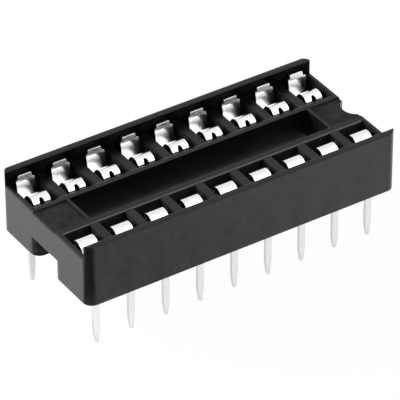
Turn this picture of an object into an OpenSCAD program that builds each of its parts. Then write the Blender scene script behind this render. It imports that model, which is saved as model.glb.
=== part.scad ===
// DIP socket: a moulded housing with two rows of pockets, and one stamped dual-leaf contact in each.
// X runs along the rows, Z is up, and z = 0 is the underside that sits on the circuit board.
// In the contact's own section, o is the distance from the socket's centre line towards a side wall.

/* [Grid] */
// Contacts in one row
positions = 9; // [4:1:20]
// Contact pitch along a row
pitch = 2.54; // [2.4:0.02:3]
// Distance between the two rows of tails
row_space = 7.62; // [7.2:0.02:15.24]

/* [Housing] */
// Top of the two side walls, above the board
wall_h = 4.36; // [4.2:0.02:5]
// Top of the rims, bridges and end walls, above the board
deck_h = 3.4; // [3.2:0.02:3.8]
// Thickness of a side wall
wall_t = 0.48; // [0.4:0.02:0.8]
// Radius of the long edges on top of a side wall
edge_r = 0.1; // [0.04:0.01:0.18]
// From the row of tails out to the inner face of the side wall
row_to_wall = 0.79; // [0.7:0.01:1]
// From the row of tails in to the pocket face of the rim
row_to_rim = 2.07; // [1.95:0.01:2.3]
// Thickness of the rim between the pockets and the centre opening, at the top
rim_t = 0.48; // [0.4:0.02:0.8]
// Radius of the rim's edge on the pocket side
rim_r = 0.17; // [0.08:0.01:0.3]
// Extra thickness of the rim at its foot, from the moulding draft
rim_draft = 0.22; // [0.02:0.02:0.3]
// Width of a pocket along the row
pocket_w = 1.96; // [1.6:0.02:2.1]
// How far the partitions stand below the rims
partition_drop = 0.06; // [0.02:0.02:0.14]
// Thickness of a pocket's floor
floor_t = 0.6; // [0.4:0.05:0.8]
// Height of the narrow foot of a pocket that locates its contact, above the board
guide_h = 1.3; // [1.1:0.05:1.6]
// Radius of the four upright corners
corner_r = 0.65; // [0.2:0.05:0.8]
// Length of the bridge that joins the two rows at each end
bridge_len = 2.59; // [1.9:0.01:3.5]
// Height of the tunnel under each bridge
tunnel_h = 1.4; // [0.8:0.05:2]
// Radius in plan of the row's corners at the mouth of the tunnel
mouth_r = 0.65; // [0.3:0.05:0.75]
// Radius of the upper corners of the tunnel
tunnel_r = 0.25; // [0.1:0.05:0.4]
// Depth of the sunk field on each bridge
field_depth = 0.1; // [0.04:0.02:0.3]
// Raised strip between the centre opening and the sunk field
field_strip = 0.23; // [0.16:0.01:0.5]
// Radius of the outer edge on top of each end
end_r = 0.14; // [0.05:0.01:0.18]
// Radius of the polarity notch
notch_r = 1.05; // [0.7:0.05:1.3]
// Depth of the polarity notch in plan
notch_depth = 0.6; // [0.3:0.05:0.65]

/* [Contact] */
// Thickness of the metal strip
strip_t = 0.22; // [0.18:0.01:0.26]
// Width of the tall leaf
tall_w = 1.34; // [1.24:0.01:1.45]
// Width of the spring leaf and of the base
leaf_w = 1.23; // [1.1:0.01:1.3]
// Width of the tab on top of the tall leaf
tab_w = 0.97; // [0.7:0.01:1.1]
// Height of that tab
tab_h = 0.28; // [0.1:0.01:0.5]
// How far the tall leaf ends below the side wall's top
tall_drop = 0.42; // [0.2:0.01:0.6]
// Corner radius of the stamped blank
blank_r = 0.08; // [0.04:0.01:0.1]
// Length of a tail below the board
tail_len = 3.84; // [2.5:0.02:5]
// Width of a tail
tail_w = 0.43; // [0.36:0.01:0.5]
// Width of the tail's blunt tip
tip_w = 0.18; // [0.1:0.01:0.3]
// Length of the tail's taper
tip_len = 1; // [0.5:0.05:1.5]
// Bend radius at both ends of the base, at the strip's middle
bend_r = 0.29; // [0.22:0.01:0.34]
// Radius of the roll on top of the spring leaf, at the strip's middle
roll_r = 0.54; // [0.44:0.01:0.58]
// How far the crest of the roll stays below the rims
roll_drop = 0.12; // [0.04:0.01:0.4]
// How far the slot ends below the crest of the roll
slot_drop = 0.08; // [0.05:0.01:0.3]
// Slope of the lead-in ramp below level
ramp_angle = 56; // [45:1:65]
// Radius of the contact nose, at the strip's middle
nose_r = 0.25; // [0.2:0.01:0.3]
// Turn of the strip round the nose
nose_turn = 56; // [40:1:70]
// Length of the lip below the nose
lip_len = 0.25; // [0.1:0.01:0.35]
// Gap between the nose and the tall leaf with no lead in it
lead_gap = 0.15; // [0.1:0.01:0.2]

/* [Clearances] */
// Between the tall leaf's top and the side wall
wall_clear = 0.05; // [0.02:0.01:0.1]
// Between the spring leaf and the rim, which leaves room to flex
flex_clear = 0.38; // [0.3:0.01:0.45]
// On each side of the contact in the foot of its pocket
guide_clear = 0.05; // [0.02:0.01:0.08]
// Around a tail in the pocket's floor
tail_clear = 0.04; // [0.02:0.01:0.08]
// On each side of the tail in the slot that it was cut from
shear_clear = 0.02; // [0.01:0.01:0.04]

/* [Hidden] */
$fn = 64;
eps = 0.5;
contacts = 2 * positions;

// Housing, worked out from the rows
row = row_space / 2;
wall_in = row + row_to_wall;
body_w = 2 * (wall_in + wall_t);
body_len = positions * pitch;
rim_out = row - row_to_rim;
opening_top = rim_out - rim_t;
opening_foot = opening_top - rim_draft;
opening_half = body_len / 2 - bridge_len;
row_half = (positions - 1) * pitch / 2;
pocket_run = wall_in - rim_out;

// Contact, worked out from its pocket
base_z = floor_t + strip_t / 2;
seat_z = base_z + bend_r;
leg_o = rim_out + flex_clear + strip_t / 2;
tall_top = wall_h - tall_drop;
tall_o = wall_in - wall_clear - strip_t / 2;
lean = atan2(tall_o - row, tall_top - seat_z);
heel_o = row - bend_r / cos(lean);
tall_len = (tall_top - seat_z + bend_r * sin(lean)) / cos(lean);
tail_root = seat_z + strip_t / 2;
slot_w = tail_w + 2 * shear_clear;
crest_z = deck_h - roll_drop;
roll_z = crest_z - strip_t / 2 - roll_r;
roll_o = leg_o + roll_r;
ramp_o = roll_o + roll_r * sin(ramp_angle);
ramp_z = roll_z + roll_r * cos(ramp_angle);
// Ramp length that brings the nose within lead_gap of the leaning tall leaf
ramp_len = (row + (ramp_z - nose_r * cos(ramp_angle) - seat_z) * tan(lean) - strip_t / (2 * cos(lean))
    - ramp_o - nose_r * (1 - sin(ramp_angle)) - strip_t / 2 - lead_gap)
    / (cos(ramp_angle) + sin(ramp_angle) * tan(lean));

// Bends of the two halves of the strip: [flat, turn, radius], left turns positive
base_bends = [[0, 90, bend_r], [heel_o - leg_o - bend_r, 90 - lean, bend_r], [tall_len, 0, 0]];
leaf_bends = [[roll_z - seat_z, -90 - ramp_angle, roll_r], [ramp_len, -nose_turn, nose_r], [lip_len, 0, 0]];

function two_digits(k) = str(k < 10 ? "0" : "", k);
function contact_name(k) = str("contact_", two_digits(k));
function leaf_name(k) = str("spring_leaf_", two_digits(k));

// Extrudes a section drawn in Y and Z along X
module along_x(length) {
    rotate([90, 0, 90]) linear_extrude(length, center = true) children();
}

// Extrudes a face drawn in X and Z along Y, from y0 to y1
module along_y(y0, y1) {
    translate([0, y1, 0]) rotate([90, 0, 0]) linear_extrude(y1 - y0) children();
}

// Rectangle from the origin to size, with round corners
module rounded(size, r) {
    translate([r, 0]) square([size[0] - 2 * r, size[1]]);
    translate([0, r]) square([size[0], size[1] - 2 * r]);
    for (x = [r, size[0] - r], y = [r, size[1] - r])
        translate([x, y]) circle(r);
}

// Housing: the outline across the rows, up to the side walls with their round edges
module body_section() {
    translate([-body_w / 2, -eps]) square([body_w, deck_h + eps]);
    for (y = [wall_in, -wall_in - wall_t])
        translate([y, -eps]) rounded([wall_t, wall_h + eps], edge_r);
}

// Housing: the open space of a row from a level z up, beyond the rim and its round edge
module row_opening(z) {
    difference() {
        translate([rim_out - rim_r, z]) square([pocket_run + rim_r, wall_h + eps - z]);
        translate([rim_out - rim_r, deck_h - rim_r]) circle(rim_r);
        square([rim_out, deck_h - rim_r]);
    }
}

// Housing: pocket of one contact, its narrow foot and the hole for its tail
module pocket() {
    guide_w = tall_w + 2 * guide_clear;
    hole_w = tail_w + 2 * tail_clear;
    hole_t = strip_t + 2 * tail_clear;
    along_x(pocket_w) row_opening(guide_h);
    translate([-guide_w / 2, rim_out, floor_t]) cube([guide_w, pocket_run, wall_h - floor_t]);
    translate([-hole_w / 2, row - hole_t / 2, -eps]) cube([hole_w, hole_t, floor_t + 2 * eps]);
}

// Housing: all the cuts of one row, on the +Y side
module row_cuts() {
    for (i = [0:positions - 1])
        translate([i * pitch - row_half, 0, 0]) pocket();
    along_x(2 * row_half + pocket_w) row_opening(deck_h - partition_drop);
}

// Housing: rounds the outer edge on top of the +X end, from y0 to y1, where the top is at z
module end_round(y0, y1, z) {
    along_y(y0, y1) translate([body_len / 2 - end_r, z - end_r]) difference() {
        square(end_r + eps);
        circle(end_r);
    }
}

// Housing: tunnel under the bridge at the +X end, flared at its mouth, and the sunk field above it
module bridge_cuts() {
    end = body_len / 2;
    mouth = opening_foot + mouth_r;
    field_z = deck_h - field_depth;
    intersection() {
        translate([0, 0, -eps]) linear_extrude(tunnel_h + eps) difference() {
            union() {
                translate([opening_half - eps, -opening_foot]) square([bridge_len + 2 * eps, 2 * opening_foot]);
                translate([end - mouth_r, -mouth]) square([mouth_r + eps, 2 * mouth]);
            }
            for (side = [-1, 1])
                translate([end - mouth_r, side * mouth]) circle(mouth_r);
        }
        along_x(body_len + 4 * eps) translate([-mouth, -2 * eps])
            rounded([2 * mouth, tunnel_h + 2 * eps], tunnel_r);
    }
    translate([opening_half + field_strip, -opening_top, field_z])
        cube([bridge_len, 2 * opening_top, wall_h]);
    end_round(-opening_top, opening_top, field_z);
    end_round(opening_top, wall_in, deck_h);
    end_round(-wall_in, -opening_top, deck_h);
}

module housing() {
    color([0.13, 0.13, 0.14]) difference() {
        intersection() {
            translate([-body_len / 2, -body_w / 2, 0]) linear_extrude(wall_h) rounded([body_len, body_w], corner_r);
            along_x(body_len) body_section();
        }
        along_x(2 * opening_half) polygon([
            [-opening_foot, -eps], [opening_foot, -eps], [opening_foot, 0],
            [opening_top, deck_h], [opening_top, deck_h + eps],
            [-opening_top, deck_h + eps], [-opening_top, deck_h], [-opening_foot, 0]
        ]);
        for (turn = [0, 180]) rotate(turn) {
            row_cuts();
            bridge_cuts();
        }
        translate([body_len / 2 + notch_r - notch_depth, 0, tunnel_h - eps]) cylinder(r = notch_r, h = wall_h);
    }
}

// Ring sector that turns the strip left (+) or right (-) from the origin, starting along +X
module bend(turn, r) {
    side = sign(turn);
    reach = 2 * (r + strip_t);
    translate([0, side * r]) intersection() {
        difference() {
            circle(r + strip_t / 2);
            circle(r - strip_t / 2);
        }
        polygon(concat([[0, 0]], [for (i = [0:4]) let (a = turn * i / 4 - side * 90) reach * [cos(a), sin(a)]]));
    }
}

// Section of a bent strip: each flat and bend starts where the last one ended
module bent_strip(bends, i = 0) {
    flat = bends[i][0];
    turn = bends[i][1];
    r = bends[i][2];
    if (flat > 0)
        translate([0, -strip_t / 2]) square([flat, strip_t]);
    translate([flat, 0]) {
        if (turn != 0)
            bend(turn, r);
        if (i + 1 < len(bends))
            translate([0, sign(turn) * r]) rotate(turn) translate([0, -sign(turn) * r]) bent_strip(bends, i + 1);
    }
}

// Puts a contact's piece in its pocket: the first half of the numbers on +Y from the notch, the rest on -Y back to it
module in_pocket(k) {
    back_row = k <= positions;
    step = back_row ? k - 1 : k - positions - 1;
    rotate(back_row ? 0 : 180) translate([row_half - step * pitch, 0, 0]) children();
}

// Outline of the stamped blank, seen along Y: the base, the tall leaf and its tab
module blank() {
    shoulder = tall_top - tab_h;
    translate([-leaf_w / 2, 0]) square([leaf_w, tail_root]);
    translate([-tall_w / 2, seat_z - blank_r]) rounded([tall_w, shoulder - seat_z + blank_r], blank_r);
    translate([-tab_w / 2, seat_z]) rounded([tab_w, tall_top - seat_z], blank_r);
}

// Face of a tail from z0 to its blunt tip at z1, or of the slot that it leaves, which is wider by grow on each side
module tail_face(z0, z1, grow = 0) {
    taper = z1 - sign(z1 - z0) * tip_len;
    polygon([
        [-tail_w / 2 - grow, z0], [-tail_w / 2 - grow, taper], [-tip_w / 2 - grow, z1],
        [tip_w / 2 + grow, z1], [tail_w / 2 + grow, taper], [tail_w / 2 + grow, z0]
    ]);
}

// Contact: tail, base with its two side legs, and the tall leaf that leans on the side wall
module contact(k) {
    in_pocket(k) color("silver") {
        difference() {
            intersection() {
                along_x(tall_w) translate([leg_o, seat_z]) rotate(-90) bent_strip(base_bends);
                along_y(0, body_w) blank();
            }
            along_y(0, row - strip_t / 2) translate([-slot_w / 2, 0]) square([slot_w, tail_root]);
        }
        along_y(row - strip_t / 2, row + strip_t / 2) tail_face(tail_root, -tail_len);
    }
}

// Spring leaf: two legs that join in a roll above the slot, with the lead-in ramp and the nose beyond it
module spring_leaf(k) {
    in_pocket(k) color("gainsboro") difference() {
        along_x(leaf_w) translate([leg_o, seat_z]) rotate(90) bent_strip(leaf_bends);
        along_y(0, roll_o) tail_face(0, crest_z - slot_drop, shear_clear);
    }
}

housing();
for (k = [1:contacts]) {
    contact(k);
    spring_leaf(k);
}
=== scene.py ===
import math

import bpy
from mathutils import Euler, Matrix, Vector


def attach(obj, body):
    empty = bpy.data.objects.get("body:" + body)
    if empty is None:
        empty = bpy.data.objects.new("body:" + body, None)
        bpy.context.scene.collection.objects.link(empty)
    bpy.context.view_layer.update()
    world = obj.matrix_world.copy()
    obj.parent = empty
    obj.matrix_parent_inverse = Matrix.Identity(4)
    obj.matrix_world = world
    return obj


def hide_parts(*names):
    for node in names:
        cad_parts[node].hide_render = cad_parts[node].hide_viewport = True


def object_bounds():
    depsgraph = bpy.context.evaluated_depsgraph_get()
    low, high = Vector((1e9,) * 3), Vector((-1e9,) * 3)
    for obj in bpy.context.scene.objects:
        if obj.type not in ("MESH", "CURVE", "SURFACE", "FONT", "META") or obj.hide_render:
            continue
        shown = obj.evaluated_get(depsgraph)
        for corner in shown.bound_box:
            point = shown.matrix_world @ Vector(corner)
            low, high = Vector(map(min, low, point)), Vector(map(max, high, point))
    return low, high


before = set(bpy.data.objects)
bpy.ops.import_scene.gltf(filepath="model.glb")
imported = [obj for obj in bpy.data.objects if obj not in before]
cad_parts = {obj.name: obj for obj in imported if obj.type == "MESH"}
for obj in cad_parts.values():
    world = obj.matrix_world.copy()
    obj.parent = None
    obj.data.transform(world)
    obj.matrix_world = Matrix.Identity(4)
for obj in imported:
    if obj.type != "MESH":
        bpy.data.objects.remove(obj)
cad_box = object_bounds()
mm = 0.001


# Housing. One black thermoplastic moulding: two rows of open pockets, tied by a bridge at each end.
# Its tool is polished for the outside and duller for the tops and the pockets, so the gloss differs by face.
# It stands on the board on its two rows and holds the contacts in its pockets.
pitch = 2.54 * mm
wall_face = 4.6 * mm
rim_face = 1.74 * mm
field_level = 3.3 * mm
# Limits that tell the tops of the walls, the outer ends and the tunnels from the other faces.
wall_top_from = 4 * mm
outer_end_from = 11.2 * mm
tunnel_from = 8.5 * mm
tunnel_side = 3 * mm
tunnel_roof = 2 * mm
# Each finish has a tone and how far it clouds, its smoothest and roughest spots, a shine and an edge round.
finishes = {
    "polished_black": dict(tone=0.005, cloud=0.5, gloss=(0.18, 0.23), shine=0.5, edge_round=0.03 * mm),
    "eroded_black": dict(tone=0.001, cloud=0.5, gloss=(0.42, 0.5), shine=0.04, edge_round=0.01 * mm),
    "satin_black": dict(tone=0.016, cloud=0.5, gloss=(0.42, 0.5), shine=0.06, edge_round=0.01 * mm),
    "clouded_black": dict(tone=0.013, cloud=0.7, gloss=(0.18, 0.23), shine=0.5, edge_round=0.03 * mm),
    "dull_black": dict(tone=0.005, cloud=0.5, gloss=(0.2, 0.28), shine=0.21, edge_round=0.01 * mm),
    "burnished_black": dict(tone=0.006, cloud=0.5, gloss=(0.18, 0.23), shine=0.5, edge_round=0.01 * mm),
}


def finished_copy(node):
    """A copy of a CAD piece with whole faces instead of loose triangles."""
    weld = 0.001 * mm
    flat_turn = math.radians(0.3)
    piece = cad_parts[node].copy()
    piece.data = piece.data.copy()
    piece.name = node + "_finished"
    piece.parent = None
    piece.modifiers.clear()
    bpy.context.collection.objects.link(piece)
    bpy.ops.object.select_all(action="DESELECT")
    piece.select_set(True)
    bpy.context.view_layer.objects.active = piece
    bpy.ops.object.mode_set(mode="EDIT")
    bpy.ops.mesh.select_all(action="SELECT")
    bpy.ops.mesh.remove_doubles(threshold=weld)
    bpy.ops.mesh.dissolve_limited(angle_limit=flat_turn)
    bpy.ops.object.mode_set(mode="OBJECT")
    return piece


def smooth_arcs(piece):
    """Shades arcs as round and wide faces as flat: each corner leans to the larger faces of its arc."""
    sharp_turn = math.radians(35)
    gentle_turn = math.cos(math.radians(25))
    own_weight = 1e-12
    bpy.ops.object.shade_smooth_by_angle(angle=sharp_turn)
    mesh = piece.data
    around = [[] for point in mesh.vertices]
    for face in mesh.polygons:
        for i in face.vertices:
            around[i].append(face)
    normals = [None] * len(mesh.loops)
    for face in mesh.polygons:
        for corner in face.loop_indices:
            lean = face.normal * own_weight
            for other in around[mesh.loops[corner].vertex_index]:
                if other.normal.dot(face.normal) > gentle_turn:
                    lean = lean + other.normal * other.area
            normals[corner] = lean.normalized()
    mesh.normals_split_custom_set(normals)


def node_in(tree, kind, **values):
    """Adds a shader node and sets the inputs that are named by their sockets."""
    made = tree.nodes.new(kind)
    for name, value in values.items():
        made.inputs[name.replace("_", " ")].default_value = value
    return made


def joined(tree, operation, first, second=0.0):
    """Works out a number from one or two others, each a socket or a plain value."""
    made = tree.nodes.new("ShaderNodeMath")
    made.operation = operation
    for socket, value in zip(made.inputs, (first, second)):
        if isinstance(value, (int, float)):
            socket.default_value = value
        else:
            tree.links.new(value, socket)
    return made.outputs[0]


def soft_step(tree, value, start, end):
    """A number that rises softly from 0 to 1 between two places."""
    made = node_in(tree, "ShaderNodeMapRange", From_Min=start, From_Max=end, To_Min=0.0, To_Max=1.0)
    made.interpolation_type = "SMOOTHSTEP"
    tree.links.new(value, made.inputs["Value"])
    return made.outputs["Result"]


def place_on(tree):
    """The place on the surface, on the object's own axes."""
    return tree.nodes.new("ShaderNodeTexCoord").outputs["Object"]


def along(tree, place, axis):
    """How far a place lies along one axis."""
    parts = tree.nodes.new("ShaderNodeSeparateXYZ")
    tree.links.new(place, parts.inputs[0])
    return parts.outputs[axis]


def cloudy(tree, place, scale, detail, roughness):
    """A number that wanders like clouds over the piece. The scale counts the clouds in a metre."""
    made = node_in(tree, "ShaderNodeTexNoise", Scale=scale, Detail=detail, Roughness=roughness)
    tree.links.new(place, made.inputs["Vector"])
    return made.outputs["Fac"]


def tinted(tree, value, stops):
    """A colour that runs from the first stop to the second, each a number and its colour."""
    made = tree.nodes.new("ShaderNodeValToRGB")
    for stop, (position, colour) in zip(made.color_ramp.elements, stops):
        stop.position = position
        stop.color = colour
    tree.links.new(value, made.inputs["Fac"])
    return made.outputs["Color"]


def uneven_gloss(tree, value, gloss):
    """A roughness that wavers between the smoothest and the roughest spots of a finish."""
    low, high = 0.3, 0.7
    smoothest, roughest = gloss
    made = node_in(tree, "ShaderNodeMapRange", From_Min=low, From_Max=high, To_Min=smoothest, To_Max=roughest)
    tree.links.new(value, made.inputs["Value"])
    return made.outputs["Result"]


def soft_edges(tree, edge_round):
    """The way that the surface faces, with its edges rounded a little."""
    made = node_in(tree, "ShaderNodeBevel", Radius=edge_round)
    made.samples = 6
    return made.outputs["Normal"]


def moulded_plastic(name, tone, cloud, gloss, shine, edge_round):
    """Black moulding: a mottled tone with painted shade in faint bands in step with the pockets, a fine skin
    and soft edges.
    """
    refraction = 1.55
    coolness = 1.02
    dark_at, light_at = 0.3, 0.72
    # How deep the painted shade bands go, and the heights where they begin and where they are full.
    band_depth, band_start, band_full = 0.13, 3.2 * mm, 1.5 * mm
    skin_strength, skin_depth = 0.1, 0.01 * mm
    material = bpy.data.materials.new(name)
    material.use_nodes = True
    tree = material.node_tree
    shader = tree.nodes["Principled BSDF"]
    shader.inputs["IOR"].default_value = refraction
    shader.inputs["Specular IOR Level"].default_value = shine
    place = place_on(tree)
    flow = cloudy(tree, place, scale=350.0, detail=3.0, roughness=0.55)
    mottle = cloudy(tree, place, scale=1600.0, detail=3.0, roughness=0.65)
    skin = cloudy(tree, place, scale=9000.0, detail=2.0, roughness=0.6)
    # Painted shade: faint bands, lighter at each pocket's middle and darker between pockets, stronger low
    # down.
    painted_bands = joined(tree, "COSINE", joined(tree, "MULTIPLY", along(tree, place, "X"), 2 * math.pi / pitch))
    painted_bands = joined(tree, "MULTIPLY", painted_bands, soft_step(tree, along(tree, place, "Z"), band_start, band_full))
    painted_bands = joined(tree, "MULTIPLY", painted_bands, band_depth * cloud)
    dark, light = (1 - cloud) * tone, (1 + cloud) * tone
    stops = ((dark_at, (dark, dark, dark * coolness, 1)), (light_at, (light, light, light * coolness, 1)))
    colour = tinted(tree, joined(tree, "ADD", mottle, painted_bands), stops)
    tree.links.new(colour, shader.inputs["Base Color"])
    tree.links.new(uneven_gloss(tree, flow, gloss), shader.inputs["Roughness"])
    relief = node_in(tree, "ShaderNodeBump", Strength=skin_strength, Distance=skin_depth)
    tree.links.new(skin, relief.inputs["Height"])
    tree.links.new(soft_edges(tree, edge_round), relief.inputs["Normal"])
    tree.links.new(relief.outputs["Normal"], shader.inputs["Normal"])
    return material


def finish_of(face):
    """The finish that the tool leaves on a face, known by where the face lies and which way it faces."""
    square_on, level, leaning, flared = 0.9, 0.95, 0.1, 0.3
    near = 0.02 * mm
    length, across, height = abs(face.center.x), abs(face.center.y), face.center.z
    endways, sideways, upward = abs(face.normal.x), abs(face.normal.y), face.normal.z
    on_wall_top = upward > leaning and height > wall_top_from
    on_deck = upward > level and height > field_level + near
    on_round = leaning < upward < level and height > field_level
    outside = sideways > square_on and across > wall_face + near
    on_wall = sideways > square_on and abs(across - wall_face) < near
    on_field = upward > square_on and abs(height - field_level) < near
    on_rim = sideways > square_on and abs(across - rim_face) < near
    on_partition = endways > square_on and rim_face < across < wall_face and length < outer_end_from
    under_bridge = length > tunnel_from and across < tunnel_side and height < tunnel_roof
    if on_wall_top or on_deck:
        return "dull_black"
    if on_round:
        return "burnished_black"
    if outside:
        return "clouded_black"
    if on_wall:
        return "eroded_black"
    if on_field or on_rim or on_partition or (under_bridge and sideways > flared):
        return "satin_black"
    return "polished_black"


housing = finished_copy("housing")
smooth_arcs(housing)
housing.data.materials.clear()
for finish, look in finishes.items():
    housing.data.materials.append(moulded_plastic(finish, **look))
for face in housing.data.polygons:
    face.material_index = list(finishes).index(finish_of(face))
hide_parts("housing")
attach(housing, "socket")


# Contacts. Each is one strip of spring bronze, pierced, bent and plated with bright tin.
# Its tail stands down through the pocket floor, and its tall leaf leans on the side wall.
# Its spring leaf is rolled over at the top, and a slot runs up into the roll.
strip_edge = 0.03 * mm
tin_gloss = (0.16, 0.23)
tin_stops = ((0.25, (0.86, 0.86, 0.86, 1)), (0.75, (0.95, 0.95, 0.95, 1)))
leaf_foot = 2.44 * mm
leaf_top = 3.94 * mm
leaf_set = 0.255 * mm
leaf_rows = 10
roll_centre = 2.63 * mm
roll_rise = 0.1
slot_half = 0.165 * mm
slot_end = 3.27 * mm
slot_low = 2.6 * mm
punch_from = 2.0 * mm
punch_to = 2.75 * mm
punch_sides = 32


def set_leaf(piece, side):
    """Gives the tall leaf the set that its press leaves: a slow curve, which leans the top back."""
    height = leaf_top - leaf_foot
    bpy.ops.object.mode_set(mode="EDIT")
    for row in range(1, leaf_rows):
        bpy.ops.mesh.select_all(action="SELECT")
        bpy.ops.mesh.bisect(plane_co=(0, 0, leaf_foot + height * row / leaf_rows), plane_no=(0, 0, 1))
    bpy.ops.object.mode_set(mode="OBJECT")
    for point in piece.data.vertices:
        part = (point.co.z - leaf_foot) / height
        if part > 0:
            point.co.y += side * leaf_set * (part ** 3 - part ** 2)


def raise_roll(piece):
    """Stretches the roll upwards a little, from its centre."""
    for point in piece.data.vertices:
        point.co.z += roll_rise * max(0, point.co.z - roll_centre)


def round_slot(piece, side):
    """Opens the slot in the roll to the round end that its punch leaves."""
    hair = 0.001 * mm
    round_centre = slot_end - slot_half
    middle = sum(point.co.x for point in piece.data.vertices) / len(piece.data.vertices)
    bpy.ops.mesh.primitive_cylinder_add(
        vertices=punch_sides, radius=slot_half, depth=punch_to - punch_from, rotation=(math.pi / 2, 0, 0),
        location=(middle, side * (punch_from + punch_to) / 2, round_centre))
    punch = bpy.context.object
    bpy.ops.object.transform_apply(location=True, rotation=True, scale=True)
    for point in punch.data.vertices:
        if point.co.z < round_centre - hair:
            point.co.z -= slot_end - 2 * slot_half - slot_low
    piece.select_set(True)
    bpy.context.view_layer.objects.active = piece
    slot = piece.modifiers.new("slot", "BOOLEAN")
    slot.operation = "DIFFERENCE"
    slot.object = punch
    bpy.ops.object.modifier_apply(modifier="slot")
    bpy.data.objects.remove(punch)


def tin_plate():
    """Bright tin over rolled strip: almost white, with soft reflections and a faint cloudy bloom."""
    material = bpy.data.materials.new("bright_tin")
    material.use_nodes = True
    tree = material.node_tree
    shader = tree.nodes["Principled BSDF"]
    shader.inputs["Metallic"].default_value = 1.0
    bloom = cloudy(tree, place_on(tree), scale=2500.0, detail=4.0, roughness=0.6)
    tree.links.new(tinted(tree, bloom, tin_stops), shader.inputs["Base Color"])
    tree.links.new(uneven_gloss(tree, bloom, tin_gloss), shader.inputs["Roughness"])
    tree.links.new(soft_edges(tree, strip_edge), shader.inputs["Normal"])
    return material


tin = tin_plate()
for name in sorted(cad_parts):
    if name == "housing":
        continue
    number = name.rsplit("_", 1)[1]
    piece = finished_copy(name)
    side = 1 if piece.data.vertices[0].co.y > 0 else -1
    if name.startswith("spring_leaf"):
        raise_roll(piece)
        round_slot(piece, side)
    else:
        set_leaf(piece, side)
    smooth_arcs(piece)
    piece.data.materials.clear()
    piece.data.materials.append(tin)
    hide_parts(name)
    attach(piece, "leaf_" + number if name.startswith("spring_leaf") else "socket")


# Table. The socket stands on the tips of its tails, on a white table that runs out of view.
# The camera sees it white with a faint soft shadow, and the gloss sees its light and shadow more plainly.
# The gloss also sees painted shade: dark patches painted into the table off the near left corner, along the
# front and under the socket.
# Each painted shade has a strength, and the places where it begins and where it is full.
table_half = 600 * mm
pure_white = (1, 1, 1, 1)
table_white = (0.85, 0.85, 0.85, 1)
painted_shade_black = (0.05, 0.05, 0.05, 1)
white_to_camera = 0.98
white_to_gloss = 0.8
corner_shade = 0.95
corner_along = (-8 * mm, -11.5 * mm)
corner_across = (0.6 * mm, -2.5 * mm)
corner_place = (-11 * mm, -5 * mm, 0)
corner_away = (4 * mm, 6 * mm)
front_shade = 0.42
front_along = (16 * mm, -10 * mm)
front_across = (-7 * mm, -10 * mm)
under_shade = 0.26
under_along = (12.5 * mm, 10.5 * mm)
under_across = (5 * mm, 2.8 * mm)


def seen_by(tree):
    """Two numbers: 1 for what the camera sees straight on, and 1 for what it sees by way of the gloss."""
    rays = tree.nodes.new("ShaderNodeLightPath")
    mirrored = joined(tree, "MAXIMUM", rays.outputs["Is Glossy Ray"], rays.outputs["Is Transmission Ray"])
    return rays.outputs["Is Camera Ray"], mirrored


def painted_table_shade(tree):
    """Where shade is painted on the table: off the near left corner, along the front and under the socket."""
    place = place_on(tree)
    x, y = along(tree, place, "X"), along(tree, place, "Y")
    from_corner = tree.nodes.new("ShaderNodeVectorMath")
    from_corner.operation = "DISTANCE"
    from_corner.inputs[1].default_value = corner_place
    tree.links.new(place, from_corner.inputs[0])
    corner = joined(tree, "MULTIPLY", soft_step(tree, x, *corner_along), soft_step(tree, y, *corner_across))
    corner = joined(tree, "MULTIPLY", corner, soft_step(tree, from_corner.outputs["Value"], *corner_away))
    corner = joined(tree, "MULTIPLY", corner, corner_shade)
    front = joined(tree, "MULTIPLY", soft_step(tree, x, *front_along), soft_step(tree, y, *front_across))
    front = joined(tree, "MULTIPLY", front, front_shade)
    under_length = soft_step(tree, joined(tree, "ABSOLUTE", x), *under_along)
    under_width = soft_step(tree, joined(tree, "ABSOLUTE", y), *under_across)
    under = joined(tree, "MULTIPLY", joined(tree, "MULTIPLY", under_length, under_width), under_shade)
    return joined(tree, "MAXIMUM", joined(tree, "MAXIMUM", corner, front), under)


bpy.ops.mesh.primitive_plane_add(size=2 * table_half, location=(0, 0, cad_box[0].z))
table = bpy.context.object
table.name = "table"
white_table = bpy.data.materials.new("white_table")
white_table.use_nodes = True
tree = white_table.node_tree
tree.nodes.remove(tree.nodes["Principled BSDF"])
lit = node_in(tree, "ShaderNodeBsdfDiffuse", Color=table_white)
glow = node_in(tree, "ShaderNodeEmission", Color=pure_white)
dark = node_in(tree, "ShaderNodeBsdfDiffuse", Color=painted_shade_black)
in_camera, in_gloss = seen_by(tree)
to_camera = joined(tree, "MULTIPLY", in_camera, white_to_camera)
to_gloss = joined(tree, "MULTIPLY", in_gloss, white_to_gloss)
white = tree.nodes.new("ShaderNodeMixShader")
tree.links.new(joined(tree, "MAXIMUM", to_camera, to_gloss), white.inputs[0])
tree.links.new(lit.outputs[0], white.inputs[1])
tree.links.new(glow.outputs[0], white.inputs[2])
# Painted shade: for the gloss only, the table is mixed towards dark where the painted shade lies.
shaded = tree.nodes.new("ShaderNodeMixShader")
tree.links.new(joined(tree, "MULTIPLY", painted_table_shade(tree), in_gloss), shaded.inputs[0])
tree.links.new(white.outputs[0], shaded.inputs[1])
tree.links.new(dark.outputs[0], shaded.inputs[2])
tree.links.new(shaded.outputs[0], tree.nodes["Material Output"].inputs["Surface"])
table.data.materials.append(white_table)


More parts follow.
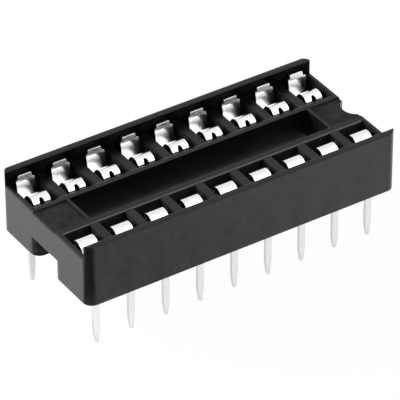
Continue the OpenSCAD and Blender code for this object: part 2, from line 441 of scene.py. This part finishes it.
# Room. White walls and a white ceiling, a little greyer high up behind the socket, as the gloss sees them.
# They also fill the shadows mildly, and past the table the camera sees plain white.
fill_strength = 0.35
back_wall = 0.88
back_turn = (0.2, 0.7)
back_height = (0.25, 0.5)
world = bpy.data.worlds.new("white_room")
bpy.context.scene.world = world
world.use_nodes = True
tree = world.node_tree
room = tree.nodes["Background"]
room.inputs["Color"].default_value = pure_white
towards = tree.nodes.new("ShaderNodeTexCoord").outputs["Generated"]
turned_back = soft_step(tree, along(tree, towards, "Y"), *back_turn)
behind = joined(tree, "MULTIPLY", turned_back, soft_step(tree, along(tree, towards, "Z"), *back_height))
walls = joined(tree, "SUBTRACT", 1.0, joined(tree, "MULTIPLY", behind, 1.0 - back_wall))
in_camera, in_gloss = seen_by(tree)
seen = joined(tree, "MAXIMUM", in_camera, joined(tree, "MULTIPLY", in_gloss, walls))
tree.links.new(joined(tree, "MAXIMUM", seen, fill_strength), room.inputs["Strength"])


# Lamps. A small softbox stands low on the left, behind the socket, and lights its left end.
# A large one stands high on the right, in front of the socket, and whitens the metal.
# Only the large one shows in the gloss.
left_place = (-70 * mm, 48 * mm, 34 * mm)
left_aim = (-12 * mm, 0, 0)
left_width = 60 * mm
left_height = 50 * mm
left_power = 0.175
front_place = (106 * mm, -139 * mm, 163 * mm)
front_aim = (0, 0, 0)
front_size = 220 * mm
front_power = 0.18


def softbox(name, place, aim, width, height, power):
    """A soft rectangular lamp that faces a point."""
    lamp = bpy.data.lights.new(name, "AREA")
    lamp.shape = "RECTANGLE"
    lamp.size = width
    lamp.size_y = height
    lamp.energy = power
    stand = bpy.data.objects.new(name, lamp)
    bpy.context.collection.objects.link(stand)
    stand.location = place
    stand.rotation_euler = (Vector(aim) - Vector(place)).to_track_quat("-Z", "Y").to_euler()
    stand.visible_camera = False
    return stand


left_softbox = softbox("left_softbox", left_place, left_aim, left_width, left_height, left_power)
left_softbox.visible_glossy = False
softbox("front_softbox", front_place, front_aim, front_size, front_size, front_power)


# Camera. A long lens above the front left corner, framed as the photograph is.
# Its place, its turn and its lens were fitted to the grid of the contacts.
view_azimuth = math.radians(-33.053)
view_elevation = math.radians(35.606)
view_roll = math.radians(-0.223)
view_aim = Vector((-0.404, -0.563, 1.033)) * mm
view_distance = 244.26 * mm
sensor_width = 36.0
picture_width = 400
focal_pixels = 3909.9
clip_start = 10 * mm
lens = bpy.data.cameras.new("camera")
lens.sensor_width = sensor_width
lens.lens = focal_pixels / picture_width * sensor_width
lens.clip_start = clip_start
camera = bpy.data.objects.new("camera", lens)
bpy.context.collection.objects.link(camera)
turn = Euler((0, 0, view_azimuth)).to_matrix() @ Euler((math.pi / 2 - view_elevation, 0, 0)).to_matrix()
turn = turn @ Euler((0, 0, view_roll)).to_matrix()
camera.location = view_aim + turn @ Vector((0, 0, view_distance))
camera.rotation_euler = turn.to_euler()
bpy.context.scene.camera = camera

bpy.context.scene.view_settings.view_transform = "Standard"
